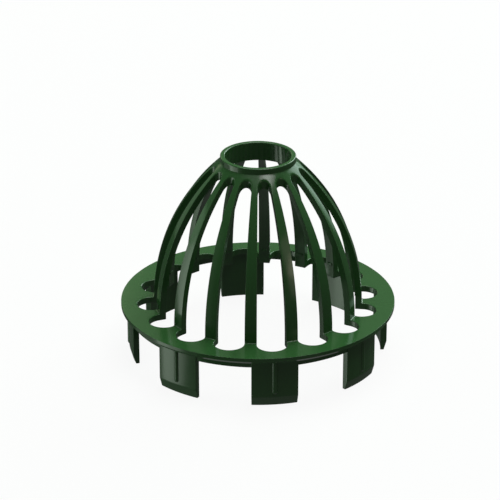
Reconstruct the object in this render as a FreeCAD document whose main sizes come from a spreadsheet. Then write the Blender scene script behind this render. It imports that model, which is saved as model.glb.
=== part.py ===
import FreeCAD, Part
import math
import os
import Sketcher
from FreeCAD import Placement, Rotation, Vector

# Gutter guard: a leaf cage that drops into the open top of a rainwater pipe.
# It is one injection moulding. A flat flange covers the rim of the pipe, a ring
# skirt and eight sprung legs hang into its bore, and a pointed dome of sixteen
# ribs stands on the flange and ends in a short open collar.
# The moulding stands on its leg tips. Z is its axis, and Z = 0 is the tips' level.
# Lengths are in millimetres and angles in degrees.

FULL_TURN = 360.0
SAME_LEVEL = 0.01

SIZES = [
    ("flange_radius", 55.0, "outside of the flange, flush with the outside of the pipe"),
    ("flange_thickness", 2.6, "flange plate"),
    ("flange_edge_chamfer", 1.2, "cut on the lower edge of the flange"),
    ("pipe_wall", 2.2, "wall of the pipe that the guard drops into"),
    ("skirt_clearance", 1.0, "skirt to the bore of the pipe"),
    ("skirt_wall", 2.15, "wall of the skirt"),
    ("skirt_depth", 2.7, "flange underside down to the skirt's lower edge"),
    ("leg_count", 8, "legs around the skirt"),
    ("leg_depth", 19.4, "flange underside down to the leg tips"),
    ("leg_clearance", 0.65, "leg to the bore of the pipe, bridged by the bead"),
    ("leg_angle", 20.4, "angle that a leg takes up around the axis"),
    ("leg_lead_height", 3.9, "height of the lead-in slope at a leg's tip"),
    ("leg_lead_depth", 1.1, "depth of the lead-in slope at a leg's tip"),
    ("bead_radius", 1.25, "grip bead on a leg"),
    ("bead_gap", 0.9, "lead-in slope up to the bead's lower end"),
    ("cage_setback", 0.89, "centre of a slot's wide end in to the foot of the cage"),
    ("cage_arc_radius", 80.0, "arc that draws the outside of the cage"),
    ("cage_wall", 2.5, "wall of the cage"),
    ("cage_base_fillet", 0.6, "fillet between cage and flange"),
    ("collar_radius", 15.0, "outside of the collar"),
    ("collar_wall", 1.95, "wall of the collar"),
    ("collar_stand", 2.37, "collar rim over the cage"),
    ("collar_ledge", 3.5, "flat ring around the lower end of the collar's bore"),
    ("rim_round", 0.35, "rounding of the collar rim"),
    ("slots_per_leg", 2, "slots for each leg"),
    ("slot_margin", 1.0, "inside of the skirt to the end of a slot"),
    ("slot_web_wide", 4.77, "plate left between the wide ends of two slots"),
    ("slot_head_margin", 1.75, "outside of the collar to the start of a slot"),
    ("slot_web_narrow", 2.35, "plate left between the narrow ends of two slots"),
    ("pip_margin", 1.0, "end of a pip to the edge of its rib"),
    ("pip_width", 1.3, "pip inside each rib, along the rib"),
    ("pip_rise", 0.4, "how far a pip stands out of the rib"),
    ("pip_level", 3.2, "flange top up to the middle of a pip"),
]

DERIVED = [
    ("flange_under", "leg_depth", "level of the flange underside"),
    ("flange_top", "leg_depth + flange_thickness", "level of the flange top"),
    ("pipe_bore", "flange_radius - pipe_wall", "bore of the pipe"),
    ("skirt_radius", "pipe_bore - skirt_clearance", "outside of the skirt"),
    ("skirt_bore", "skirt_radius - skirt_wall", "inside of the skirt and of the legs"),
    ("leg_radius", "pipe_bore - leg_clearance", "outside of the legs"),
    ("bead_centre", "pipe_bore - bead_radius", "axis to the bead's own axis"),
    ("bead_start", "leg_lead_height + bead_gap", "leg tips up to the bead's lower end"),
    ("slot_count", "leg_count * slots_per_leg", "slots around the cage"),
    ("rib_angle", "180 / slot_count", "angle from a slot's middle to a rib's middle"),
    ("rib_sine", "sin(rib_angle)", "sine of that angle"),
    ("slot_reach", "skirt_bore - slot_margin", "axis to the outer end of a slot"),
    ("slot_start", "collar_radius + slot_head_margin", "axis to the inner end of a slot"),
    (
        "slot_wide_radius",
        "(slot_reach * rib_sine - slot_web_wide / 2) / (1 + rib_sine)",
        "wide end of a slot, in the flange",
    ),
    (
        "slot_narrow_radius",
        "(slot_start * rib_sine - slot_web_narrow / 2) / (1 - rib_sine)",
        "narrow end of a slot, below the collar",
    ),
    ("slot_wide_centre", "slot_reach - slot_wide_radius", "axis to the wide end's centre"),
    ("slot_narrow_centre", "slot_start + slot_narrow_radius", "axis to the narrow end's centre"),
    ("cage_radius", "slot_wide_centre - cage_setback", "outside of the cage at its foot"),
    ("cage_throat", "cage_radius - cage_wall", "inside of the cage at its foot"),
    ("cage_centre", "cage_radius - cage_arc_radius", "axis to the centre of the cage's arcs"),
    ("cage_inner_arc", "cage_arc_radius - cage_wall", "arc that draws the cage's inside"),
    ("bore_radius", "collar_radius - collar_wall", "bore of the collar"),
    ("ledge_radius", "bore_radius + collar_ledge", "outside of the flat ring in the cage"),
    (
        "ledge_level",
        "flange_top + sqrt(cage_inner_arc ^ 2 - (ledge_radius - cage_centre) ^ 2)",
        "level of the flat ring in the cage",
    ),
    (
        "neck_level",
        "flange_top + sqrt(cage_arc_radius ^ 2 - (collar_radius - cage_centre) ^ 2)",
        "level at which the collar leaves the cage",
    ),
    ("rim_level", "neck_level + collar_stand", "level of the collar rim"),
    ("pip_length", "slot_web_wide - 2 * pip_margin", "pip inside each rib, across the rib"),
    ("pip_run", "pip_length - pip_width", "between the centres of a pip's round ends"),
    ("pip_centre", "flange_top + pip_level", "level of the middle of a pip"),
    ("pip_face", "cage_throat - pip_rise", "axis to the face of a pip"),
    ("pip_root", "pip_rise + cage_wall / 2", "pip's face to its root in the rib"),
]


def fill_sheet(doc):
    """Write the driving dimensions, then the ones worked out from them."""
    sheet = doc.addObject("Spreadsheet::Sheet", "Sizes")
    row = 1
    for alias, value, note in SIZES:
        sheet.set(f"A{row}", note)
        sheet.set(f"B{row}", str(value))
        sheet.setAlias(f"B{row}", alias)
        row += 1
    for alias, formula, note in DERIVED:
        sheet.set(f"A{row}", note)
        sheet.set(f"B{row}", f"={formula}")
        sheet.setAlias(f"B{row}", alias)
        row += 1
    doc.recompute()
    return sheet


def origin_feature(body, role):
    """Find a plane or an axis of the body's own origin."""
    for feature in body.Origin.OriginFeatures:
        if feature.Role == role:
            return feature
    raise RuntimeError(f"no {role} in {body.Label}")


def new_sketch(body, name, role):
    """Start a sketch on one of the body's own origin planes."""
    sketch = body.newObject("Sketcher::SketchObject", name)
    sketch.AttachmentSupport = [(origin_feature(body, role), "")]
    sketch.MapMode = "FlatFace"
    return sketch


class Outline:
    """A closed outline in a sketch, with its sizes bound to the sheet."""

    def __init__(self, sketch, sheet):
        self.sketch = sketch
        self.sheet = sheet

    def line(self, start, end):
        """Add a straight edge."""
        return self.sketch.addGeometry(Part.LineSegment(Vector(*start, 0), Vector(*end, 0)), False)

    def arc(self, centre, radius, first, last):
        """Add an arc, counterclockwise from the first angle to the last."""
        circle = Part.Circle(Vector(*centre, 0), Vector(0, 0, 1), radius)
        return self.sketch.addGeometry(Part.ArcOfCircle(circle, first, last), False)

    def join(self, geo, end, other, start):
        """Make two ends meet."""
        self.sketch.addConstraint(Sketcher.Constraint("Coincident", geo, end, other, start))

    def rule(self, kind, *places):
        """Add a constraint that has no size."""
        self.sketch.addConstraint(Sketcher.Constraint(kind, *places))

    def size(self, kind, alias, *places):
        """Add a constraint whose size is a cell of the sheet."""
        value = float(self.sheet.get(alias))
        index = self.sketch.addConstraint(Sketcher.Constraint(kind, *places, value))
        self.sketch.setExpression(f"Constraints[{index}]", f"Sizes.{alias}")

    def across(self, alias, geo, point):
        """Set a point's distance from the vertical axis of the sketch."""
        self.size("DistanceX", alias, -1, 1, geo, point)

    def above(self, alias, geo, point):
        """Set a point's height over the horizontal axis of the sketch."""
        self.size("DistanceY", alias, -1, 1, geo, point)


def cell(sheet, alias):
    """Read one size from the sheet."""
    return float(sheet.get(alias))


def draw_shell_profile(sketch, sheet):
    """Half section of flange, skirt, cage and collar, to be turned about Z."""
    radius = cell(sheet, "flange_radius")
    top = cell(sheet, "flange_top")
    under = cell(sheet, "flange_under")
    chamfer = cell(sheet, "flange_edge_chamfer")
    arc = cell(sheet, "cage_arc_radius")
    inner_arc = cell(sheet, "cage_inner_arc")
    centre = cell(sheet, "cage_centre")
    throat_radius = cell(sheet, "cage_throat")
    fillet = cell(sheet, "cage_base_fillet")
    collar = cell(sheet, "collar_radius")
    bore = cell(sheet, "bore_radius")
    ledge = cell(sheet, "ledge_radius")
    ledge_level = cell(sheet, "ledge_level")
    neck_level = cell(sheet, "neck_level")
    rim = cell(sheet, "rim_level")
    skirt = cell(sheet, "skirt_radius")
    skirt_bore = cell(sheet, "skirt_bore")
    skirt_end = under - cell(sheet, "skirt_depth")

    fillet_x = centre + math.sqrt((arc + fillet) ** 2 - fillet ** 2)
    foot = math.atan2(fillet, fillet_x - centre)
    neck = math.atan2(neck_level - top, collar - centre)
    ceiling = math.atan2(ledge_level - top, ledge - centre)

    out = Outline(sketch, sheet)
    edge = out.line((radius, under + chamfer), (radius, top))
    deck = out.line((radius, top), (fillet_x, top))
    root = out.arc((fillet_x, top + fillet), fillet, math.pi + foot, 1.5 * math.pi)
    cage = out.arc((centre, top), arc, foot, neck)
    wall = out.line((collar, neck_level), (collar, rim))
    lip = out.line((collar, rim), (bore, rim))
    hole = out.line((bore, rim), (bore, ledge_level))
    soffit = out.line((bore, ledge_level), (ledge, ledge_level))
    inner = out.arc((centre, top), inner_arc, 0.0, ceiling)
    throat = out.line((throat_radius, top), (throat_radius, under))
    web = out.line((throat_radius, under), (skirt_bore, under))
    skirt_in = out.line((skirt_bore, under), (skirt_bore, skirt_end))
    skirt_foot = out.line((skirt_bore, skirt_end), (skirt, skirt_end))
    skirt_out = out.line((skirt, skirt_end), (skirt, under))
    eave = out.line((skirt, under), (radius - chamfer, under))
    slope = out.line((radius - chamfer, under), (radius, under + chamfer))

    out.join(edge, 2, deck, 1)
    out.rule("Tangent", deck, 2, root, 2)
    out.rule("Tangent", root, 1, cage, 1)
    out.join(cage, 2, wall, 1)
    out.join(wall, 2, lip, 1)
    out.join(lip, 2, hole, 1)
    out.join(hole, 2, soffit, 1)
    out.join(soffit, 2, inner, 2)
    out.join(inner, 1, throat, 1)
    out.join(throat, 2, web, 1)
    out.join(web, 2, skirt_in, 1)
    out.join(skirt_in, 2, skirt_foot, 1)
    out.join(skirt_foot, 2, skirt_out, 1)
    out.join(skirt_out, 2, eave, 1)
    out.join(eave, 2, slope, 1)
    out.join(slope, 2, edge, 1)
    for level in (deck, lip, soffit, web, skirt_foot, eave):
        out.rule("Horizontal", level)
    for upright in (edge, wall, hole, throat, skirt_in, skirt_out):
        out.rule("Vertical", upright)
    out.join(cage, 3, inner, 3)
    out.across("flange_radius", edge, 2)
    out.above("flange_top", edge, 2)
    out.size("DistanceY", "flange_edge_chamfer", slope, 1, slope, 2)
    out.size("DistanceX", "flange_edge_chamfer", slope, 1, slope, 2)
    out.size("Radius", "cage_base_fillet", root)
    out.size("Radius", "cage_arc_radius", cage)
    out.above("flange_top", cage, 3)
    out.size("Radius", "cage_inner_arc", inner)
    out.across("cage_throat", throat, 1)
    out.above("flange_top", throat, 1)
    out.above("flange_under", web, 1)
    out.across("collar_radius", wall, 2)
    out.above("rim_level", wall, 2)
    out.across("bore_radius", hole, 1)
    out.across("ledge_radius", soffit, 2)
    out.across("skirt_bore", skirt_in, 1)
    out.across("skirt_radius", skirt_out, 1)
    out.size("DistanceY", "skirt_depth", skirt_in, 2, skirt_in, 1)
    out.above("flange_under", eave, 1)


def draw_slot(sketch, sheet):
    """Plan of one slot: a wide end in the flange, a narrow end below the collar."""
    far = cell(sheet, "slot_wide_centre")
    wide = cell(sheet, "slot_wide_radius")
    near = cell(sheet, "slot_narrow_centre")
    narrow = cell(sheet, "slot_narrow_radius")
    taper = math.asin((wide - narrow) / (far - near))
    side = math.pi / 2 + taper

    def on_circle(centre, radius, angle):
        """Point of an end circle that a side of the slot touches."""
        return (centre + radius * math.cos(angle), radius * math.sin(angle))

    out = Outline(sketch, sheet)
    end = out.arc((far, 0), wide, -side, side)
    left = out.line(on_circle(far, wide, side), on_circle(near, narrow, side))
    head = out.arc((near, 0), narrow, side, 2 * math.pi - side)
    right = out.line(on_circle(near, narrow, -side), on_circle(far, wide, -side))
    out.rule("Tangent", end, 2, left, 1)
    out.rule("Tangent", left, 2, head, 1)
    out.rule("Tangent", head, 2, right, 1)
    out.rule("Tangent", right, 2, end, 1)
    out.rule("PointOnObject", end, 3, -1)
    out.rule("PointOnObject", head, 3, -1)
    out.size("Radius", "slot_wide_radius", end)
    out.size("Radius", "slot_narrow_radius", head)
    out.across("slot_wide_centre", end, 3)
    out.across("slot_narrow_centre", head, 3)


def draw_leg_profile(sketch, sheet):
    """Half section of a leg, sloped at its tip so that it finds the pipe."""
    outside = cell(sheet, "leg_radius")
    inside = cell(sheet, "skirt_bore")
    under = cell(sheet, "flange_under")
    lead = cell(sheet, "leg_lead_height")
    depth = cell(sheet, "leg_lead_depth")
    out = Outline(sketch, sheet)
    tip = out.line((inside, 0), (outside - depth, 0))
    slope = out.line((outside - depth, 0), (outside, lead))
    face = out.line((outside, lead), (outside, under))
    head = out.line((outside, under), (inside, under))
    back = out.line((inside, under), (inside, 0))
    chain = [tip, slope, face, head, back]
    for geo, other in zip(chain, chain[1:] + chain[:1]):
        out.join(geo, 2, other, 1)
    out.rule("PointOnObject", tip, 1, -1)
    for level in (tip, head):
        out.rule("Horizontal", level)
    for upright in (face, back):
        out.rule("Vertical", upright)
    out.across("leg_radius", face, 1)
    out.across("skirt_bore", back, 1)
    out.above("flange_under", back, 1)
    out.size("DistanceY", "leg_lead_height", slope, 1, slope, 2)
    out.size("DistanceX", "leg_lead_depth", slope, 1, slope, 2)


def draw_bead_profile(sketch, sheet):
    """Half section of a grip bead: a rod with a round lower end."""
    axis = cell(sheet, "bead_centre")
    radius = cell(sheet, "bead_radius")
    start = cell(sheet, "bead_start")
    under = cell(sheet, "flange_under")
    out = Outline(sketch, sheet)
    end = out.arc((axis, start + radius), radius, -math.pi / 2, 0)
    side = out.line((axis + radius, start + radius), (axis + radius, under))
    head = out.line((axis + radius, under), (axis, under))
    core = out.line((axis, under), (axis, start))
    out.rule("Tangent", end, 2, side, 1)
    out.join(side, 2, head, 1)
    out.join(head, 2, core, 1)
    out.join(core, 2, end, 1)
    out.rule("Horizontal", head)
    for upright in (side, core):
        out.rule("Vertical", upright)
    out.rule("PointOnObject", end, 3, core)
    out.size("Radius", "bead_radius", end)
    out.across("bead_centre", core, 1)
    out.above("flange_under", core, 1)
    out.above("bead_start", core, 2)
    turn = sketch.addGeometry(Part.LineSegment(Vector(axis, 0, 0), Vector(axis, start, 0)), True)
    out.rule("PointOnObject", turn, 1, -1)
    out.rule("Vertical", turn)
    out.join(turn, 2, core, 2)


def draw_pip(sketch, sheet):
    """Outline of a pip: a short bar with round ends, lying across its rib."""
    half_width = cell(sheet, "pip_width") / 2
    half_run = cell(sheet, "pip_run") / 2
    level = cell(sheet, "pip_centre")
    out = Outline(sketch, sheet)
    right = out.arc((half_run, level), half_width, -math.pi / 2, math.pi / 2)
    upper = out.line((half_run, level + half_width), (-half_run, level + half_width))
    left = out.arc((-half_run, level), half_width, math.pi / 2, 1.5 * math.pi)
    lower = out.line((-half_run, level - half_width), (half_run, level - half_width))
    out.rule("Tangent", right, 2, upper, 1)
    out.rule("Tangent", upper, 2, left, 1)
    out.rule("Tangent", left, 2, lower, 1)
    out.rule("Tangent", lower, 2, right, 1)
    out.rule("Horizontal", upper)
    out.rule("Symmetric", left, 3, right, 3, -2)
    out.size("DistanceY", "pip_width", lower, 2, upper, 1)
    out.size("DistanceX", "pip_run", left, 3, right, 3)
    out.above("pip_centre", right, 3)


def turn_profile(body, sketch, name, axis, angle_alias=None):
    """Turn a profile about an axis: all the way, or through a named angle."""
    feature = body.newObject("PartDesign::Revolution", name)
    feature.Profile = sketch
    feature.ReferenceAxis = axis
    if angle_alias is None:
        feature.Angle = FULL_TURN
    else:
        feature.setExpression("Angle", f"Sizes.{angle_alias}")
        feature.Midplane = True
    sketch.Visibility = False
    return feature


def repeat_around(body, sources, name, count_alias):
    """Repeat features evenly around the Z axis."""
    pattern = body.newObject("PartDesign::PolarPattern", name)
    pattern.Originals = sources
    pattern.Axis = (origin_feature(body, "Z_Axis"), [""])
    pattern.Angle = FULL_TURN
    pattern.setExpression("Occurrences", f"Sizes.{count_alias}")
    body.Tip = pattern
    return pattern


def rim_edges(shape, sheet):
    """Name the two circles that bound the collar's flat rim."""
    rim = cell(sheet, "rim_level")
    found = []
    for number, edge in enumerate(shape.Edges, start=1):
        box = edge.BoundBox
        if abs(box.ZMin - rim) < SAME_LEVEL and abs(box.ZMax - rim) < SAME_LEVEL:
            found.append(f"Edge{number}")
    return found


def check_document(doc):
    """Stop if any object failed."""
    for item in doc.Objects:
        if "Invalid" in item.State or "Error" in item.State:
            raise RuntimeError(f"{item.Label} failed: {item.State}")


def check_shape(body):
    """Stop if the body is not one valid solid."""
    shape = body.Shape
    if shape.isNull() or not shape.isValid() or len(shape.Solids) != 1:
        raise RuntimeError(f"{body.Label} is not one valid solid")
    return shape


def grew(before, after, name):
    """Stop if a feature that should add material added none."""
    if after <= before:
        raise RuntimeError(f"{name} added nothing")


def build_guard(doc, sheet):
    """Build the moulding, feature by feature."""
    body = doc.addObject("PartDesign::Body", "gutter_guard")
    body.Label = "gutter_guard"
    turning_axis = (origin_feature(body, "Z_Axis"), [""])

    # The turned shell: flange, skirt, closed cage and collar
    shell_sketch = new_sketch(body, "ShellProfile", "XZ_Plane")
    draw_shell_profile(shell_sketch, sheet)
    turn_profile(body, shell_sketch, "Shell", turning_axis)
    doc.recompute()
    closed = body.Shape.Volume

    # The slots leave the ribs standing, and scallop the flange
    slot_sketch = new_sketch(body, "SlotPlan", "XY_Plane")
    draw_slot(slot_sketch, sheet)
    slot = body.newObject("PartDesign::Pocket", "Slot")
    slot.Profile = slot_sketch
    slot.Type = "ThroughAll"
    slot.Reversed = True
    slot_sketch.Visibility = False
    slots = repeat_around(body, [slot], "Slots", "slot_count")
    doc.recompute()
    if slots.Shape.Volume >= closed:
        raise RuntimeError("the slots cut nothing")

    # The rounded rim of the collar
    rim = body.newObject("PartDesign::Fillet", "RimRound")
    rim.Base = (slots, rim_edges(slots.Shape, sheet))
    rim.setExpression("Radius", "Sizes.rim_round")
    doc.recompute()
    rounded = body.Shape.Volume

    # A leg with its grip bead, in line with a slot
    leg_sketch = new_sketch(body, "LegProfile", "XZ_Plane")
    draw_leg_profile(leg_sketch, sheet)
    leg = turn_profile(body, leg_sketch, "Leg", turning_axis, "leg_angle")
    bead_sketch = new_sketch(body, "BeadProfile", "XZ_Plane")
    draw_bead_profile(bead_sketch, sheet)
    bead = turn_profile(body, bead_sketch, "Bead", (bead_sketch, ["Axis0"]))
    repeat_around(body, [leg, bead], "Legs", "leg_count")
    doc.recompute()
    legged = body.Shape.Volume
    grew(rounded, legged, "Legs")

    # A pip on the inner face of each rib, just above the flange
    pip_sketch = new_sketch(body, "PipOutline", "YZ_Plane")
    pip_turn = cell(sheet, "rib_angle")
    pip_sketch.AttachmentOffset = Placement(Vector(0, 0, 0), Rotation(Vector(0, 1, 0), pip_turn))
    pip_sketch.setExpression("AttachmentOffset.Rotation.Angle", "Sizes.rib_angle")
    pip_sketch.setExpression("AttachmentOffset.Base.x", "Sizes.pip_face * sin(Sizes.rib_angle)")
    pip_sketch.setExpression("AttachmentOffset.Base.z", "Sizes.pip_face * cos(Sizes.rib_angle)")
    draw_pip(pip_sketch, sheet)
    pip = body.newObject("PartDesign::Pad", "Pip")
    pip.Profile = pip_sketch
    pip.setExpression("Length", "Sizes.pip_root")
    pip_sketch.Visibility = False
    repeat_around(body, [pip], "Pips", "slot_count")
    doc.recompute()
    grew(legged, body.Shape.Volume, "Pips")
    return body


def main():
    """Build the document, check it and write the part's file."""
    doc = FreeCAD.newDocument("GutterGuard")
    sheet = fill_sheet(doc)
    body = build_guard(doc, sheet)
    check_document(doc)
    shape = check_shape(body)
    os.makedirs("parts", exist_ok=True)
    shape.exportStep(f"parts/{body.Label}.step")
    size = shape.BoundBox
    print(f"{body.Label}: {size.XLength:.2f} x {size.YLength:.2f} x {size.ZLength:.2f} mm")


main()
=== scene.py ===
"""Gutter guard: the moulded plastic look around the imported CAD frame.

The guard is one moulding, so it is one welded mesh. Each of its features is a class that
lays its own patches of quads into that mesh: the slotted flange with the cage, the collar,
the skirt with its legs, the grip beads and the pips. Sizes are millimetres in the classes
and become metres when the mesh is welded. Angles are degrees in the fields.
"""

import logging
import math
from collections.abc import Callable
from dataclasses import dataclass, field
from enum import Enum
from functools import partial

import bmesh
import bpy
import numpy as np
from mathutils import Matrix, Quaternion, Vector


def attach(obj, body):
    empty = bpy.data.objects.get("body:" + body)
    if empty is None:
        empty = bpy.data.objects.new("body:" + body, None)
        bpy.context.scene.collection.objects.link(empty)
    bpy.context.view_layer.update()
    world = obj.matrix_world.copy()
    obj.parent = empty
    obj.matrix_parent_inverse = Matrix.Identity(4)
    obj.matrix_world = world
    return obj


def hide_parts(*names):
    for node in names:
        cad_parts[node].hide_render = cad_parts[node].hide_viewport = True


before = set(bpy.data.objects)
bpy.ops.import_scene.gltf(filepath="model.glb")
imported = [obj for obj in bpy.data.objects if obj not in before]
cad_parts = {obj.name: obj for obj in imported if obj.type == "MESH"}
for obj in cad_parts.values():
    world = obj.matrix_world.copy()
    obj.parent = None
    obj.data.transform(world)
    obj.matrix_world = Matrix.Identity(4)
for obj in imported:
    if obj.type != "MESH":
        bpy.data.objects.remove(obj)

LOG = logging.getLogger("gutter_guard")
NODE = "gutter_guard"
BODY = "root"
MM = 0.001
WELD = 0.0015 * MM
CREASE = math.radians(32)
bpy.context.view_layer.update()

# A pair is radius and angle, radius and level, or two offsets. A corner is radius, level and
# rounding. A spot is radius, angle and level.
Pair = tuple[float, float]
Corner = tuple[float, float, float]
Spot = tuple[float, float, float]
Profile = list[Pair]
Edge = Callable[[float], Spot]
Level = Callable[[float], float]


class Side(Enum):
    """The two skins of a wall."""

    OUTER = "outer"
    INNER = "inner"


def spread(first: float, last: float, count: int) -> list[float]:
    """Values from first to last in count equal steps, both ends among them."""
    return [float(value) for value in np.linspace(first, last, count + 1)]


def rounded(corners: list[Corner], steps: int) -> Profile:
    """Round the corners of an open profile.

    Args:
        corners: Radius, level and rounding of each corner; the two ends have no rounding.
        steps: How many steps each rounding takes.

    Returns:
        The points of the rounded profile.
    """
    points: Profile = [corners[0][:2]]
    for before, here, after in zip(corners, corners[1:], corners[2:]):
        corner = np.array(here[:2])
        back = np.array(before[:2]) - corner
        ahead = np.array(after[:2]) - corner
        back /= np.linalg.norm(back)
        ahead /= np.linalg.norm(ahead)
        half = math.acos(float(np.clip(back @ ahead, -1, 1))) / 2
        bisector = (back + ahead) / np.linalg.norm(back + ahead)
        centre = corner + bisector * here[2] / math.sin(half)
        start = corner + back * here[2] / math.tan(half) - centre
        end = corner + ahead * here[2] / math.tan(half) - centre
        sweep = math.pi - 2 * half
        for share in spread(0, 1, steps):
            arm = math.sin((1 - share) * sweep) * start + math.sin(share * sweep) * end
            points.append(tuple(float(value) for value in centre + arm / math.sin(sweep)))
    points.append(corners[-1][:2])
    return points


class Shell:
    """Patches of quads that are welded into one closed mesh."""

    def __init__(self) -> None:
        """Start with no patches."""
        self.points: list[np.ndarray] = []
        self.quads: list[np.ndarray] = []
        self.count = 0

    def patch(self, grid: np.ndarray) -> None:
        """Lay a grid of points as quads.

        Args:
            grid: Rows by columns by x, y and z, in millimetres.
        """
        rows, columns = grid.shape[:2]
        index = np.arange(rows * columns).reshape(rows, columns) + self.count
        corners = (index[:-1, :-1], index[1:, :-1], index[1:, 1:], index[:-1, 1:])
        self.quads.append(np.stack([corner.ravel() for corner in corners], axis=1))
        self.points.append(grid.reshape(-1, 3))
        self.count += rows * columns

    def around(self, rows: list[list[Spot]], turns: list[float], mirrored: bool = True) -> None:
        """Lay a patch given as radius, angle and level at several places around the axis.

        Args:
            rows: The patch, with its angles in radians from the middle of the feature.
            turns: The angle of each place, in radians.
            mirrored: Whether the feature's other half is laid too.
        """
        spots = np.array(rows, float)
        for turn in turns:
            for sign in (1, -1) if mirrored else (1,):
                angle = turn + sign * spots[..., 1]
                across = spots[..., 0] * np.cos(angle)
                along = spots[..., 0] * np.sin(angle)
                self.patch(np.stack([across, along, spots[..., 2]], axis=-1))

    def weld(self, name: str) -> bpy.types.Object:
        """Weld the patches into one object with smooth faces and crisp creases.

        Args:
            name: The object's name.

        Returns:
            The object, linked to the scene.
        """
        mesh = bpy.data.meshes.new(name)
        places = (np.vstack(self.points) * MM).tolist()
        mesh.from_pydata(places, [], np.vstack(self.quads).tolist())
        work = bmesh.new()
        work.from_mesh(mesh)
        bmesh.ops.remove_doubles(work, verts=work.verts, dist=WELD)
        bmesh.ops.recalc_face_normals(work, faces=work.faces)
        loose = sum(1 for edge in work.edges if len(edge.link_faces) != 2)
        LOG.info("%s: %d faces, %d open edges", name, len(work.faces), loose)
        work.to_mesh(mesh)
        work.free()
        mesh.shade_smooth()
        mesh.set_sharp_from_angle(angle=CREASE)
        piece = bpy.data.objects.new(name, mesh)
        bpy.context.scene.collection.objects.link(piece)
        normals = piece.modifiers.new("even_normals", "WEIGHTED_NORMAL")
        normals.keep_sharp = True
        return piece


@dataclass(frozen=True)
class Slot:
    """Plan of the slots: a wide end in the flange, a narrow end below the collar."""

    count: int = 16
    wide_centre: float = 42.704
    wide_radius: float = 5.946
    narrow_centre: float = 19.35
    narrow_radius: float = 2.6

    @property
    def half_pitch(self) -> float:
        """Angle from a slot's middle to a rib's middle, in radians."""
        return math.pi / self.count

    @property
    def taper(self) -> float:
        """Angle between a slot's middle and its straight side, in radians."""
        narrowing = self.wide_radius - self.narrow_radius
        return math.asin(narrowing / (self.wide_centre - self.narrow_centre))

    @property
    def offset(self) -> float:
        """Distance of the axis from the line of the straight side."""
        return self.wide_radius - self.wide_centre * math.sin(self.taper)

    @property
    def turns(self) -> list[float]:
        """The angle of each slot around the axis, in radians."""
        return [2 * math.pi * index / self.count for index in range(self.count)]

    def on_end(self, centre: float, radius: float, angle: float, inset: float) -> Pair:
        """A point beside one of the round ends.

        Args:
            centre: Axis to the end's centre.
            radius: Radius of the end.
            angle: Direction from that centre, in radians from the outward one.
            inset: Distance from the slot's edge into the material.

        Returns:
            Radius and angle of the point.
        """
        across = centre + (radius + inset) * math.cos(angle)
        up = (radius + inset) * math.sin(angle)
        return math.hypot(across, up), math.atan2(up, across)

    def on_side(self, radius: float, inset: float) -> float:
        """Angle of a point beside the straight side, by radius and inset, in radians."""
        return self.taper + math.asin((self.offset + inset) / radius)

    def side_end(self, centre: float, radius: float) -> float:
        """Distance from the axis to where a round end meets the straight side."""
        return self.on_end(centre, radius, math.pi / 2 + self.taper, 0.0)[0]


@dataclass(frozen=True)
class Station:
    """One place along the edge of a slot, with both skins of the wall there.

    Each skin has its points beside the slot by inset, and its rest, where it ends away from
    the slot. On the slot's round ends it has its level by radius too.
    """

    outer: Edge
    inner: Edge
    outer_rest: Spot
    inner_rest: Spot
    outer_level: Level | None = None
    inner_level: Level | None = None


@dataclass
class Ring:
    """Columns that the flange, the skirt and the legs share around half a slot's pitch."""

    slot: Slot
    leg_span: float = 20.4
    leg_radius: float = 52.15
    edge: float = 0.2
    face_steps: int = 8
    corner_steps: int = 3

    @property
    def leg_half(self) -> float:
        """Angle from a leg's middle to its side, in radians."""
        return math.radians(self.leg_span / 2)

    @property
    def angles(self) -> list[float]:
        """The columns, from the middle of a slot to the middle of a rib.

        Returns:
            Their angles, in radians: leg face, leg corner, leg side, rib middle.
        """
        corner = self.edge / self.leg_radius
        face = spread(0, self.leg_half - corner, self.face_steps)
        turn = spread(self.leg_half - corner, self.leg_half, self.corner_steps + 1)[1:]
        return [*face, *turn, self.slot.half_pitch]

    @property
    def leg_columns(self) -> int:
        """How many of the columns belong to a leg."""
        return self.face_steps + self.corner_steps + 2


@dataclass
class Flange:
    """The flat flange with its chamfered edge.

    The apron is the circle where the webs between the slots take over. The corner turn is
    the place on a slot's wide end that faces the corner of the rim's columns.
    """

    slot: Slot
    ring: Ring
    radius: float = 55.0
    top: float = 22.0
    under: float = 19.4
    chamfer: float = 1.2
    edge_round: float = 0.06
    turn_round: float = 0.08
    apron: float = 50.4
    skirt_bore: float = 49.65
    corner_turn: float = 57.0
    eave_reach: float = 1.5
    round_steps: int = 5

    @property
    def eave(self) -> float:
        """Radius at which the flange hands its underside over to the skirt and legs."""
        return self.radius - self.eave_reach * self.chamfer

    def lay(self, shell: Shell) -> None:
        """Lay the rim of the flange outside the slots.

        Args:
            shell: The moulding.
        """
        profile = rounded([
            (self.apron, self.top, 0),
            (self.radius, self.top, self.edge_round),
            (self.radius, self.under + self.chamfer, self.turn_round),
            (self.radius - self.chamfer, self.under, self.turn_round),
            (self.eave, self.under, 0),
        ], self.round_steps)
        rows = [[(r, angle, z) for angle in self.ring.angles] for r, z in profile]
        shell.around(rows, self.slot.turns)


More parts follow.
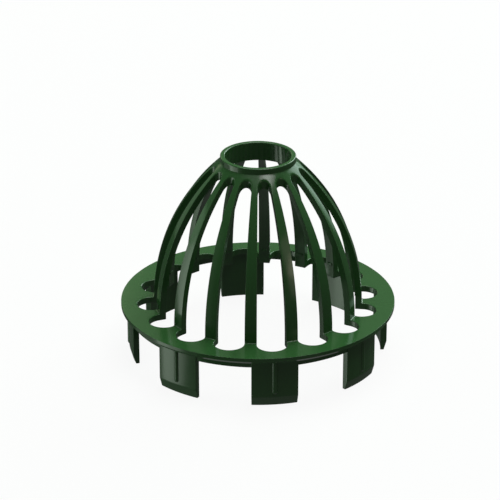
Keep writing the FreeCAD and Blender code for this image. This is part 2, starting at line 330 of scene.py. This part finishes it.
@dataclass
class Cage:
    """The ribs, with the webs of the flange between the slots' wide ends.

    The neck ring and the ledge radius are the circles where the collar takes over, outside
    and inside. The head reach, the rib start and the end reach are the radii between which
    the rounding of the slots' outer edges changes.
    """

    slot: Slot
    ring: Ring
    flange: Flange
    arc: float = 80.0
    wall: float = 2.5
    foot_radius: float = 41.814
    foot_fillet: float = 0.4
    throat_round: float = 0.3
    end_round: float = 0.33
    rib_round: float = 0.13
    head_round: float = 0.42
    inner_round: float = 0.08
    head_reach: float = 18.5
    rib_start: float = 21.5
    end_reach: float = 43.2
    neck_ring: float = 15.6
    ledge_radius: float = 16.55
    line_steps: int = 7
    fillet_steps: int = 6
    under_steps: int = 3
    throat_steps: int = 2
    upright_steps: int = 2
    rib_steps: int = 40
    head_line_steps: int = 4
    head_ring_steps: int = 5
    head_corner: float = 143.0
    skin_steps: int = 3
    edge_steps: int = 4
    wall_steps: int = 3

    @property
    def centre(self) -> float:
        """Radius at which the centre of the cage's arcs lies."""
        return self.foot_radius - self.arc

    @property
    def throat(self) -> float:
        """Inside of the cage at its foot."""
        return self.foot_radius - self.wall

    @property
    def fillet(self) -> Pair:
        """The fillet at the foot of the cage.

        Returns:
            Radius of its centre, and the turn at which it runs into the outer arc, in radians.
        """
        reach = math.sqrt((self.arc + self.foot_fillet) ** 2 - self.foot_fillet ** 2)
        centre = self.centre + reach
        return centre, math.atan2(self.foot_fillet, centre - self.centre)

    def level(self, side: Side, radius: float) -> float:
        """Level of one of the cage's skins over the leg tips, by distance from the axis."""
        arc = self.arc if side is Side.OUTER else self.arc - self.wall
        return self.flange.top + math.sqrt(arc ** 2 - (radius - self.centre) ** 2)

    def round_station(
        self,
        centre: float,
        radius: float,
        angle: float,
        rests: tuple[Spot, Spot],
        levels: tuple[Level, Level],
    ) -> Station:
        """A station on one of the slot's round ends.

        Args:
            centre: Axis to the end's centre.
            radius: Radius of the end.
            angle: Direction from that centre, in radians.
            rests: Where the outer and the inner skin end, away from the slot.
            levels: The level of each skin by radius.

        Returns:
            The station.
        """
        def point(level: Level, inset: float) -> Spot:
            """The point of a skin at an inset from the slot's edge."""
            r, turn = self.slot.on_end(centre, radius, angle, inset)
            return (r, turn, level(r))

        return Station(partial(point, levels[0]), partial(point, levels[1]), *rests, *levels)

    def side_station(self, outer: Pair, inner: Pair) -> Station:
        """A station on the slot's straight side.

        Args:
            outer: Radius and level of the outer skin.
            inner: Radius and level of the inner skin.

        Returns:
            The station.
        """
        def point(place: Pair, inset: float) -> Spot:
            """The point of a skin at an inset from the slot's edge."""
            return (place[0], self.slot.on_side(place[0], inset), place[1])

        middle = self.slot.half_pitch
        rests = [(radius, middle, level) for radius, level in (outer, inner)]
        return Station(partial(point, outer), partial(point, inner), *rests)

    def flange_stations(self) -> list[Station]:
        """Stations around the wide end of the slot, in the flange.

        Returns:
            The stations, from the slot's middle to its straight side.
        """
        slot, flange = self.slot, self.flange
        angles, middle = self.ring.angles, slot.half_pitch
        centre, radius = slot.wide_centre, slot.wide_radius
        side = slot.side_end(centre, radius)
        corner = math.radians(flange.corner_turn)
        ways = [corner * angle / angles[-1] for angle in angles]
        ways += spread(corner, math.pi / 2 + slot.taper, self.line_steps)[1:]
        levels = (lambda r: flange.top, lambda r: flange.under)
        places = [(flange.apron, flange.skirt_bore, angle) for angle in angles]
        outer_line = spread(flange.apron, side, self.line_steps)[1:]
        inner_line = spread(flange.skirt_bore, side, self.line_steps)[1:]
        places += [(outer, inner, middle) for outer, inner in zip(outer_line, inner_line)]
        rests = [
            ((outer, turn, flange.top), (inner, turn, flange.under))
            for outer, inner, turn in places
        ]
        return [
            self.round_station(centre, radius, way, rest, levels) for way, rest in zip(ways, rests)
        ]

    def foot_stations(self) -> list[Station]:
        """Stations where the cage stands on the flange, fillet outside and throat inside.

        The steps under the web, around the throat's edge and up it match the fillet's in number.

        Returns:
            The stations, from the flange up.
        """
        slot, flange = self.slot, self.flange
        side = slot.side_end(slot.wide_centre, slot.wide_radius)
        fillet_centre, start = self.fillet
        outer: Profile = []
        for turn in spread(1.5 * math.pi, math.pi + start, self.fillet_steps):
            outer.append((
                fillet_centre + self.foot_fillet * math.cos(turn),
                flange.top + self.foot_fillet * (1 + math.sin(turn)),
            ))
        corner = rounded([
            (side, flange.under, 0),
            (self.throat, flange.under, self.throat_round),
            (self.throat, flange.top, 0),
        ], self.throat_steps)[1:-1]
        inner = [(r, flange.under) for r in spread(side, corner[0][0], self.under_steps)[1:-1]]
        inner += corner
        uprights = spread(corner[-1][1], flange.top, self.upright_steps)[1:]
        inner += [(self.throat, level) for level in uprights]
        return [self.side_station(a, b) for a, b in zip(outer, inner, strict=True)]

    def rib_stations(self) -> list[Station]:
        """Stations up the straight side of the slot, along both arcs of the rib.

        Returns:
            The stations, from the foot up.
        """
        head = self.slot.side_end(self.slot.narrow_centre, self.slot.narrow_radius)
        lines = []
        for arc, start in ((self.arc, self.fillet[1]), (self.arc - self.wall, 0)):
            end = math.acos((head - self.centre) / arc)
            lines.append([
                (self.centre + arc * math.cos(turn), self.flange.top + arc * math.sin(turn))
                for turn in spread(start, end, self.rib_steps)[1:]
            ])
        return [self.side_station(outer, inner) for outer, inner in zip(*lines)]

    def head_stations(self) -> list[Station]:
        """Stations around the narrow end of the slot, below the collar.

        Returns:
            The stations, from the straight side to the slot's middle.
        """
        slot = self.slot
        centre, radius = slot.narrow_centre, slot.narrow_radius
        side = slot.side_end(centre, radius)
        corner = math.radians(self.head_corner)
        ways = spread(math.pi / 2 + slot.taper, corner, self.head_line_steps)[1:]
        ways += spread(corner, math.pi, self.head_ring_steps)[1:]
        levels = (lambda r: self.level(Side.OUTER, r), lambda r: self.level(Side.INNER, r))
        lines = []
        for end, level in zip((self.neck_ring, self.ledge_radius), levels):
            places = [(r, slot.half_pitch) for r in spread(side, end, self.head_line_steps)[1:]]
            places += [(end, turn) for turn in self.collar_angles[1:]]
            lines.append([(r, turn, level(r)) for r, turn in places])
        return [
            self.round_station(centre, radius, way, rests, levels)
            for way, rests in zip(ways, zip(*lines))
        ]

    @property
    def collar_angles(self) -> list[float]:
        """The collar's columns, from a rib's middle to a slot's middle, in radians."""
        return spread(self.slot.half_pitch, 0, self.head_ring_steps)

    def rounding(self, radius: float) -> float:
        """Rounding of the slot's outer edge, larger at both of its ends than along the ribs.

        Args:
            radius: Distance from the axis.

        Returns:
            The rounding.
        """
        places = (self.head_reach, self.rib_start, self.foot_radius, self.end_reach)
        roundings = (self.head_round, self.rib_round, self.rib_round, self.end_round)
        return float(np.interp(radius, places, roundings))

    def loop(self, station: Station) -> list[Spot]:
        """Points around the wall at a station: outer skin, slot edge, inner skin.

        Args:
            station: The place along the slot.

        Returns:
            The points, from the rest of the outer skin to the rest of the inner one.
        """
        top, foot = station.outer(0.0), station.inner(0.0)
        edge_round = self.rounding(top[0])
        outer = self.skin(station.outer_rest, station.outer(edge_round), station.outer_level)
        inner = self.skin(station.inner_rest, station.inner(self.inner_round), station.inner_level)
        down = self.edge_turn(station.outer, top, foot, edge_round)
        up = self.edge_turn(station.inner, foot, top, self.inner_round)
        shares = spread(0, 1, self.wall_steps)[1:-1]
        wall = [blend_spots(down[-1], up[-1], share) for share in shares]
        return [*outer, *down, *wall, *reversed(up), *reversed(inner)]

    def skin(self, rest: Spot, edge: Spot, level: Level | None) -> list[Spot]:
        """Points across a skin, from its rest to short of where the slot's edge rounds."""
        spots = [blend_spots(rest, edge, share) for share in spread(0, 1, self.skin_steps)[:-1]]
        return [(r, turn, level(r)) for r, turn, _ in spots] if level else spots

    def edge_turn(self, edge: Edge, here: Spot, there: Spot, size: float) -> list[Spot]:
        """Points around the rounded edge between a skin and the slot's wall.

        Args:
            edge: The skin's points by inset.
            here: The sharp edge of this skin.
            there: The sharp edge of the other skin.
            size: The rounding.

        Returns:
            The points, from the skin to the wall.
        """
        near, far = to_plain(here), to_plain(there)
        way = (far - near) / np.linalg.norm(far - near)
        points = []
        for turn in spread(0, math.pi / 2, self.edge_steps):
            skin = to_plain(edge(size * (1 - math.sin(turn))))
            points.append(to_polar(skin + way * size * (1 - math.cos(turn))))
        return points

    def lay(self, shell: Shell) -> None:
        """Lay the ribs and webs.

        Args:
            shell: The moulding.
        """
        stations = [
            *self.flange_stations(),
            *self.foot_stations(),
            *self.rib_stations(),
            *self.head_stations(),
        ]
        shell.around([self.loop(station) for station in stations], self.slot.turns)


def blend_spots(first: Spot, last: Spot, share: float) -> Spot:
    """A spot part of the way between two others, in radius, angle and level."""
    return tuple(a + (b - a) * share for a, b in zip(first, last))


def to_plain(spot: Spot) -> np.ndarray:
    """Turn radius, angle and level into x, y and z."""
    return np.array((spot[0] * math.cos(spot[1]), spot[0] * math.sin(spot[1]), spot[2]))


def to_polar(point: np.ndarray) -> Spot:
    """Turn x, y and z into radius, angle and level."""
    return (math.hypot(point[0], point[1]), math.atan2(point[1], point[0]), float(point[2]))


@dataclass
class Collar:
    """The short open collar with its rounded rim, and the flat ledge under it."""

    cage: Cage
    radius: float = 15.0
    bore: float = 13.05
    rim: float = 84.125
    rim_round: float = 0.42
    bore_round: float = 0.45
    neck_round: float = 0.15
    lip_round: float = 0.12
    lip_drop: float = 0.38
    round_steps: int = 4

    def lay(self, shell: Shell) -> None:
        """Lay the collar from the top of the cage, over the rim, to the ledge inside.

        Args:
            shell: The moulding.
        """
        cage = self.cage
        top = cage.level(Side.OUTER, cage.neck_ring)
        neck = cage.level(Side.OUTER, self.radius)
        ledge = cage.level(Side.INNER, cage.ledge_radius)
        profile = rounded([
            (cage.neck_ring, top, 0),
            (self.radius, neck, self.neck_round),
            (self.radius, self.rim, self.rim_round),
            (self.bore, self.rim, self.bore_round),
            (self.bore, ledge - self.lip_drop, self.lip_round),
            (cage.ledge_radius, ledge, 0),
        ], self.round_steps)
        rows = [[(r, turn, z) for turn in cage.collar_angles] for r, z in profile]
        shell.around(rows, cage.slot.turns)


@dataclass
class Skirt:
    """The ring skirt and the legs that grow out of it."""

    flange: Flange
    radius: float = 51.8
    depth: float = 2.7
    legs: int = 8
    lead_height: float = 3.9
    lead_depth: float = 1.1
    lead_round: float = 0.45
    tip_round: float = 0.15
    corner_clear: float = 0.05
    row_levels: tuple[float, ...] = (14.0, 10.0, 6.5)
    edge_steps: int = 2
    level_steps: int = 2
    lead_steps: int = 4
    tip_steps: int = 3

    @property
    def foot(self) -> float:
        """Level of the skirt's lower edge."""
        return self.flange.under - self.depth

    @property
    def levels(self) -> list[float]:
        """The skirt's levels, from the flange down."""
        return spread(self.flange.under, self.foot, self.level_steps)

    @property
    def leg_turns(self) -> list[float]:
        """The angle of each slot that has a leg under it, in radians."""
        turns = self.flange.slot.turns
        return turns[::len(turns) // self.legs]

    def leg_face(self, level: float) -> float:
        """Outside of a leg at a level, with the lead-in slope eased into the face.

        Args:
            level: Level over the leg tips.

        Returns:
            The radius.
        """
        slope = self.lead_depth / self.lead_height
        short = self.lead_height - level
        if short <= -self.lead_round:
            drop = 0.0
        elif short >= self.lead_round:
            drop = slope * short
        else:
            drop = slope * (short + self.lead_round) ** 2 / (4 * self.lead_round)
        return self.flange.ring.leg_radius - drop

    def chains(self, level: float, inset: float) -> tuple[list[Spot], list[Spot]]:
        """The inner and the outer face of half a leg at a level.

        Args:
            level: Level over the leg tips.
            inset: How far the rounding of the tip has drawn the faces in.

        Returns:
            The two chains of points, with as many points each.
        """
        ring = self.flange.ring
        face = self.leg_face(level) - inset
        half = ring.leg_half - inset / face
        share = half / ring.leg_half
        bore = self.flange.skirt_bore + inset
        inner = [(bore, turn * share, level) for turn in ring.angles[:ring.leg_columns]]
        corner = ring.edge / face
        outer = [(face, turn, level) for turn in spread(0, half - corner, ring.face_steps)]
        for turn in spread(0, math.pi / 2, ring.corner_steps)[1:]:
            drawn = ring.edge * (1 - math.cos(turn))
            outer.append((face - drawn, half - corner * (1 - math.sin(turn)), level))
        outer.append((min(self.radius, face - ring.edge - self.corner_clear), half, level))
        return inner, outer

    def lay(self, shell: Shell) -> None:
        """Lay the skirt all around and a leg under every second slot.

        Args:
            shell: The moulding.
        """
        flange = self.flange
        turns, angles = flange.slot.turns, flange.ring.angles
        without_leg = [turn for turn in turns if turn not in self.leg_turns]
        beside_leg = angles[flange.ring.leg_columns - 1:]
        inside = [[(flange.skirt_bore, angle, z) for angle in angles] for z in self.levels]
        shell.around(inside, turns)
        self.lay_outside(shell, angles, without_leg)
        self.lay_outside(shell, beside_leg, self.leg_turns)
        self.lay_legs(shell)

    def lay_outside(self, shell: Shell, angles: list[float], turns: list[float]) -> None:
        """Lay the skirt's lower edge, its outside and the eave over it.

        Args:
            shell: The moulding.
            angles: The columns.
            turns: The slots where it is laid.
        """
        flange = self.flange
        across = spread(flange.skirt_bore, self.radius, self.edge_steps)
        up = spread(self.foot, flange.under, self.level_steps)[1:]
        profile = [(r, self.foot) for r in across] + [(self.radius, z) for z in up]
        profile.append((flange.eave, flange.under))
        shell.around([[(r, angle, z) for angle in angles] for r, z in profile], turns)

    def lay_legs(self, shell: Shell) -> None:
        """Lay the legs: eave, outer face, side, inner face and tip.

        Args:
            shell: The moulding.
        """
        flange, turns = self.flange, self.leg_turns
        angles = flange.ring.angles[:flange.ring.leg_columns]
        eave = [(flange.eave, angle, flange.under) for angle in angles]
        shell.around([eave, *(self.chains(level, 0.0)[1] for level in self.levels)], turns)
        lead_top = self.lead_height + self.lead_round
        lead_foot = self.lead_height - self.lead_round
        levels = [self.foot, *self.row_levels, *spread(lead_top, lead_foot, self.lead_steps)]
        cuts = [(level, 0.0) for level in levels]
        for turn in spread(0, math.pi / 2, self.tip_steps):
            inset = self.tip_round * (1 - math.cos(turn))
            cuts.append((self.tip_round * (1 - math.sin(turn)), inset))
        pairs = [self.chains(level, inset) for level, inset in cuts]
        shell.around([outer for _, outer in pairs], turns)
        shell.around([inner for inner, _ in pairs], turns)
        ends = [(inner[-1], outer[-1]) for inner, outer in pairs]
        shell.around([[a, blend_spots(a, b, 0.5), b] for a, b in ends], turns)
        inner, outer = pairs[-1]
        middle = [blend_spots(a, b, 0.5) for a, b in zip(inner, outer)]
        shell.around([inner, middle, outer], turns)


@dataclass
class Beads:
    """The grip beads: rods with a round lower end, one on each leg."""

    skirt: Skirt
    radius: float = 1.25
    axis: float = 51.55
    start: float = 4.8
    sunk: float = 0.6
    nib: float = 0.02
    steps: int = 20
    end_steps: int = 6
    rod_steps: int = 3

    def lay(self, shell: Shell) -> None:
        """Lay one closed rod on each leg, its top sunk into the flange.

        Args:
            shell: The moulding.
        """
        sections = [(self.nib, self.start)]
        for turn in spread(0, math.pi / 2, self.end_steps)[1:]:
            level = self.start + self.radius * (1 - math.cos(turn))
            sections.append((self.radius * math.sin(turn), level))
        top = self.skirt.flange.under + self.sunk
        levels = spread(sections[-1][1], top, self.rod_steps)[1:]
        sections += [(self.radius, level) for level in levels]
        half = self.steps // 2
        for place in self.skirt.leg_turns:
            rows = []
            for radius, level in sections:
                ring = []
                for step in range(self.steps + 1):
                    way = 2 * math.pi * step / self.steps
                    across = self.axis + radius * math.cos(way)
                    ring.append(to_polar(np.array((across, radius * math.sin(way), level))))
                rows.append(ring)
            for end in (rows[0], rows[-1]):
                shell.around([end[:half + 1], end[half:][::-1]], [place], mirrored=False)
            shell.around(rows, [place], mirrored=False)


@dataclass
class Pips:
    """The raised bars inside the ribs, just over the flange."""

    cage: Cage
    length: float = 2.8
    width: float = 1.3
    rise: float = 0.4
    level: float = 3.2
    sunk: float = 0.7
    edge: float = 0.07
    steps: int = 6
    edge_steps: int = 3

    def outline(self, inset: float) -> list[Pair]:
        """The bar's outline, drawn in by an inset.

        Args:
            inset: How far the outline is drawn in.

        Returns:
            Offsets across the rib and along it, once around.
        """
        radius = self.width / 2 - inset
        run = (self.length - self.width) / 2
        points = []
        for centre, start in ((run, -math.pi / 2), (-run, math.pi / 2)):
            for turn in spread(start, start + math.pi, self.steps):
                points.append((centre + radius * math.cos(turn), radius * math.sin(turn)))
        points.append(points[0])
        return points

    def lay(self, shell: Shell) -> None:
        """Lay one closed bar in each rib.

        Args:
            shell: The moulding.
        """
        face = self.cage.throat - self.rise
        centre = self.cage.flange.top + self.level
        layers = [(self.cage.throat + self.sunk, 0.0)]
        for turn in spread(0, math.pi / 2, self.edge_steps):
            inset = self.edge * (1 - math.cos(turn))
            layers.append((face + self.edge * (1 - math.sin(turn)), inset))
        places = [turn + self.cage.slot.half_pitch for turn in self.cage.slot.turns]
        rows = []
        for radius, inset in layers:
            rows.append([
                to_polar(np.array((radius, across, centre + along)))
                for across, along in self.outline(inset)
            ])
        shell.around(rows, places, mirrored=False)
        half = self.steps
        for end in (rows[0], rows[-1]):
            shell.around([end[:half + 1], end[half + 1:-1][::-1]], places, mirrored=False)


@dataclass(frozen=True)
class MouldedPlastic:
    """Glossy dark green plastic with a faint mould texture and flow marks."""

    name: str = "green_plastic"
    deep: tuple[float, float, float] = (0.0235, 0.08, 0.0225)
    light: tuple[float, float, float] = (0.0255, 0.086, 0.0245)
    roughness: tuple[float, float] = (0.12, 0.18)
    refraction: float = 1.49
    flow_scale: float = 90.0
    flow_detail: float = 3.0
    grain_scale: float = 2600.0
    grain_detail: float = 2.0
    grain_strength: float = 0.02
    grain_height: float = 0.05

    def material(self) -> bpy.types.Material:
        """Make the node material.

        Returns:
            The material.
        """
        made = bpy.data.materials.new(self.name)
        made.use_nodes = True
        nodes, links = made.node_tree.nodes, made.node_tree.links
        shader = nodes["Principled BSDF"]
        shader.inputs["IOR"].default_value = self.refraction
        place = nodes.new("ShaderNodeTexCoord")
        flow = nodes.new("ShaderNodeTexNoise")
        flow.inputs["Scale"].default_value = self.flow_scale
        flow.inputs["Detail"].default_value = self.flow_detail
        links.new(place.outputs["Object"], flow.inputs["Vector"])
        tint = nodes.new("ShaderNodeMix")
        tint.data_type = "RGBA"
        tint.inputs["A"].default_value = (*self.deep, 1.0)
        tint.inputs["B"].default_value = (*self.light, 1.0)
        links.new(flow.outputs["Fac"], tint.inputs["Factor"])
        links.new(tint.outputs["Result"], shader.inputs["Base Color"])
        gloss = nodes.new("ShaderNodeMapRange")
        gloss.inputs["To Min"].default_value = self.roughness[0]
        gloss.inputs["To Max"].default_value = self.roughness[1]
        links.new(flow.outputs["Fac"], gloss.inputs["Value"])
        links.new(gloss.outputs["Result"], shader.inputs["Roughness"])
        grain = nodes.new("ShaderNodeTexNoise")
        grain.inputs["Scale"].default_value = self.grain_scale
        grain.inputs["Detail"].default_value = self.grain_detail
        links.new(place.outputs["Object"], grain.inputs["Vector"])
        bump = nodes.new("ShaderNodeBump")
        bump.inputs["Strength"].default_value = self.grain_strength
        bump.inputs["Distance"].default_value = self.grain_height * MM
        links.new(grain.outputs["Fac"], bump.inputs["Height"])
        links.new(bump.outputs["Normal"], shader.inputs["Normal"])
        return made


@dataclass
class Moulding:
    """The whole guard: one welded mesh that stands for the CAD node."""

    finish: MouldedPlastic = field(default_factory=MouldedPlastic)
    name: str = "moulding"

    def build(self) -> bpy.types.Object:
        """Lay every feature, weld the mesh and dress it.

        Returns:
            The finished piece.
        """
        slot = Slot()
        ring = Ring(slot)
        flange = Flange(slot, ring)
        cage = Cage(slot, ring, flange)
        skirt = Skirt(flange)
        shell = Shell()
        for feature in (flange, cage, Collar(cage), skirt, Beads(skirt), Pips(cage)):
            feature.lay(shell)
        piece = shell.weld(self.name)
        piece.data.materials.append(self.finish.material())
        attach(piece, BODY)
        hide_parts(NODE)
        return piece


@dataclass(frozen=True)
class SoftBox:
    """A soft studio light, as the guard sees it.

    Azimuth, elevation, width, height and roll are degrees, and the distance is metres. The
    brightness is that of the light's face, whatever its size.
    """

    name: str
    azimuth: float
    elevation: float
    width: float
    height: float
    brightness: float
    tint: tuple[float, float, float] = (1.0, 1.0, 1.0)
    roll: float = 0.0
    distance: float = 2.5

    def place(self, target: Vector) -> bpy.types.Object:
        """Hang the light.

        Args:
            target: What the light looks at.

        Returns:
            The light.
        """
        data = bpy.data.lights.new(self.name, "AREA")
        data.shape = "RECTANGLE"
        data.size = 2 * self.distance * math.tan(math.radians(self.width / 2))
        data.size_y = 2 * self.distance * math.tan(math.radians(self.height / 2))
        data.energy = math.pi * self.brightness * data.size * data.size_y
        data.color = self.tint
        lamp = bpy.data.objects.new(self.name, data)
        bpy.context.scene.collection.objects.link(lamp)
        out = direction(self.azimuth, self.elevation)
        lamp.location = target + out * self.distance
        roll = Quaternion((0, 0, 1), math.radians(self.roll))
        lamp.rotation_euler = ((-out).to_track_quat("-Z", "Y") @ roll).to_euler()
        return lamp


def direction(azimuth: float, elevation: float) -> Vector:
    """The way from the guard to an onlooker.

    Args:
        azimuth: Degrees around the guard, 0 on the -Y side and 90 on the +X side.
        elevation: Degrees over the floor.

    Returns:
        A unit vector.
    """
    turn, rise = math.radians(azimuth), math.radians(elevation)
    flat = math.cos(rise)
    return Vector((math.sin(turn) * flat, -math.cos(turn) * flat, math.sin(rise)))


@dataclass
class Studio:
    """Pale floor, dim room and soft lights, each where the guard shows its reflection.

    The room's light is given by elevation, in degrees. The floor's size is in metres.
    """

    target: Vector = field(default_factory=lambda: Vector((0, 0, 0.04)))
    floor_size: float = 6.0
    floor_glow: float = 0.916
    floor_colour: float = 0.06
    room: tuple[tuple[float, float], ...] = (
        (-90, 0.21), (-60, 0.26), (-40, 0.1), (-22, 0.07),
        (15, 0.055), (35, 0.065), (60, 0.1), (90, 0.97),
    )
    lights: tuple[SoftBox, ...] = (
        SoftBox("ceiling_light", 149, 78, 52, 48, 3.1, (0.85, 1.0, 0.88)),
        SoftBox("ceiling_front_light", 42, 69, 25, 15, 2.85, (1.0, 0.9, 0.97)),
        SoftBox("left_window", -90.5, -9, 28, 44, 1.45, (0.86, 1.0, 0.86), roll=19),
        SoftBox("left_window_middle", -93.5, -5, 13, 44, 0.83, (0.78, 1.0, 0.78)),
        SoftBox("left_window_top", -106, 18, 16, 15, 1.1, (0.65, 1.0, 0.66)),
        SoftBox("left_glow", -94, -3, 70, 79, 0.19, (0.8, 1.0, 0.8)),
        SoftBox("left_back_lamp", -139, 11, 14, 28, 0.36, (0.8, 1.0, 0.77)),
        SoftBox("right_window", 126.5, 29, 21, 40, 1.58, (0.83, 1.0, 0.98)),
        SoftBox("right_glow", 134, 26, 45, 45, 1.5, (0.72, 1.0, 0.84)),
        SoftBox("right_strip", 149, 30, 7, 34, 8.5, (0.9, 1.0, 0.95)),
        SoftBox("right_window_top", 94, 36, 40, 26, 0.12, (0.8, 1.0, 0.85)),
        SoftBox("front_lamp", 36, 16.5, 18, 33, 0.6, (1.0, 0.87, 0.74), roll=8),
        SoftBox("front_lamp_core", 36.5, 15, 12, 12, 1.35, (1.0, 0.85, 0.68), roll=-30),
        SoftBox("left_back_glow", -114, -20, 28, 38, 0.14, (1.0, 0.93, 1.0)),
        SoftBox("front_low_glow", 8, -38, 70, 26, 0.055, (1.0, 0.9, 1.0)),
        SoftBox("back_left_lamp", -164, 20, 34, 14, 0.8, (0.88, 1.0, 0.65)),
        SoftBox("back_lamp", 172, 27, 36, 20, 0.23, (0.63, 1.0, 0.56)),
    )

    def build(self) -> None:
        """Lay the floor, set the room's light and hang the lights."""
        self.lay_floor()
        self.fill_room()
        for light in self.lights:
            light.place(self.target)
        bpy.context.scene.view_settings.view_transform = "Standard"

    def fill_room(self) -> None:
        """Fill the room with dim light that changes with height."""
        world = bpy.data.worlds.new("room")
        world.use_nodes = True
        nodes, links = world.node_tree.nodes, world.node_tree.links
        place = nodes.new("ShaderNodeTexCoord")
        split = nodes.new("ShaderNodeSeparateXYZ")
        links.new(place.outputs["Generated"], split.inputs["Vector"])
        height = nodes.new("ShaderNodeMapRange")
        height.inputs["From Min"].default_value = -1.0
        links.new(split.outputs["Z"], height.inputs["Value"])
        ramp = nodes.new("ShaderNodeValToRGB")
        while len(ramp.color_ramp.elements) < len(self.room):
            ramp.color_ramp.elements.new(0.5)  # moved to its own place below
        for stop, (elevation, light) in zip(ramp.color_ramp.elements, self.room):
            stop.position = (math.sin(math.radians(elevation)) + 1) / 2
            stop.color = (light, light, light, 1.0)
        links.new(height.outputs["Result"], ramp.inputs["Fac"])
        links.new(ramp.outputs["Color"], nodes["Background"].inputs["Color"])
        bpy.context.scene.world = world

    def lay_floor(self) -> None:
        """Lay a pale floor that only the camera sees, so that it throws no light back."""
        half = self.floor_size / 2
        mesh = bpy.data.meshes.new("floor")
        corners = [(-half, -half, 0), (half, -half, 0), (half, half, 0), (-half, half, 0)]
        mesh.from_pydata(corners, [], [(0, 1, 2, 3)])
        floor = bpy.data.objects.new("floor", mesh)
        bpy.context.scene.collection.objects.link(floor)
        floor.visible_diffuse = False
        floor.visible_glossy = False
        floor.visible_shadow = False
        paint = bpy.data.materials.new("pale_floor")
        paint.use_nodes = True
        shader = paint.node_tree.nodes["Principled BSDF"]
        shader.inputs["Base Color"].default_value = (*[self.floor_colour] * 3, 1.0)
        shader.inputs["Roughness"].default_value = 1.0
        shader.inputs["Specular IOR Level"].default_value = 0.0
        shader.inputs["Emission Color"].default_value = (1.0, 1.0, 1.0, 1.0)
        shader.inputs["Emission Strength"].default_value = self.floor_glow
        mesh.materials.append(paint)


@dataclass
class PhotoCamera:
    """The camera at the photograph's angle, in metres and degrees.

    Only the lens and the sensor are millimetres, as camera makers give them.
    """

    distance: float = 1.0526
    azimuth: float = -7.44
    elevation: float = 25.28
    lens: float = 188.2
    sensor: float = 36.0
    stand: float = 0.022
    aim: tuple[float, float, float] = (-0.00318, 0.0, 0.04327)
    near: float = 0.05
    far: float = 20.0

    def place(self) -> None:
        """Set the scene's camera."""
        data = bpy.data.cameras.new("photo_camera")
        data.lens = self.lens
        data.sensor_width = self.sensor
        data.clip_start = self.near
        data.clip_end = self.far
        camera = bpy.data.objects.new("photo_camera", data)
        bpy.context.scene.collection.objects.link(camera)
        centre = Vector((0, 0, self.stand))
        camera.location = centre + direction(self.azimuth, self.elevation) * self.distance
        sight = Vector(self.aim) - camera.location
        camera.rotation_euler = sight.to_track_quat("-Z", "Y").to_euler()
        bpy.context.scene.camera = camera


def main() -> None:
    """Build the guard, its studio and the camera, and report each piece."""
    logging.basicConfig(level=logging.INFO, format="%(name)s: %(message)s")
    piece = Moulding().build()
    LOG.info("%s stands for %s", piece.name, NODE)
    Studio().build()
    PhotoCamera().place()


if __name__ == "__main__":
    main()
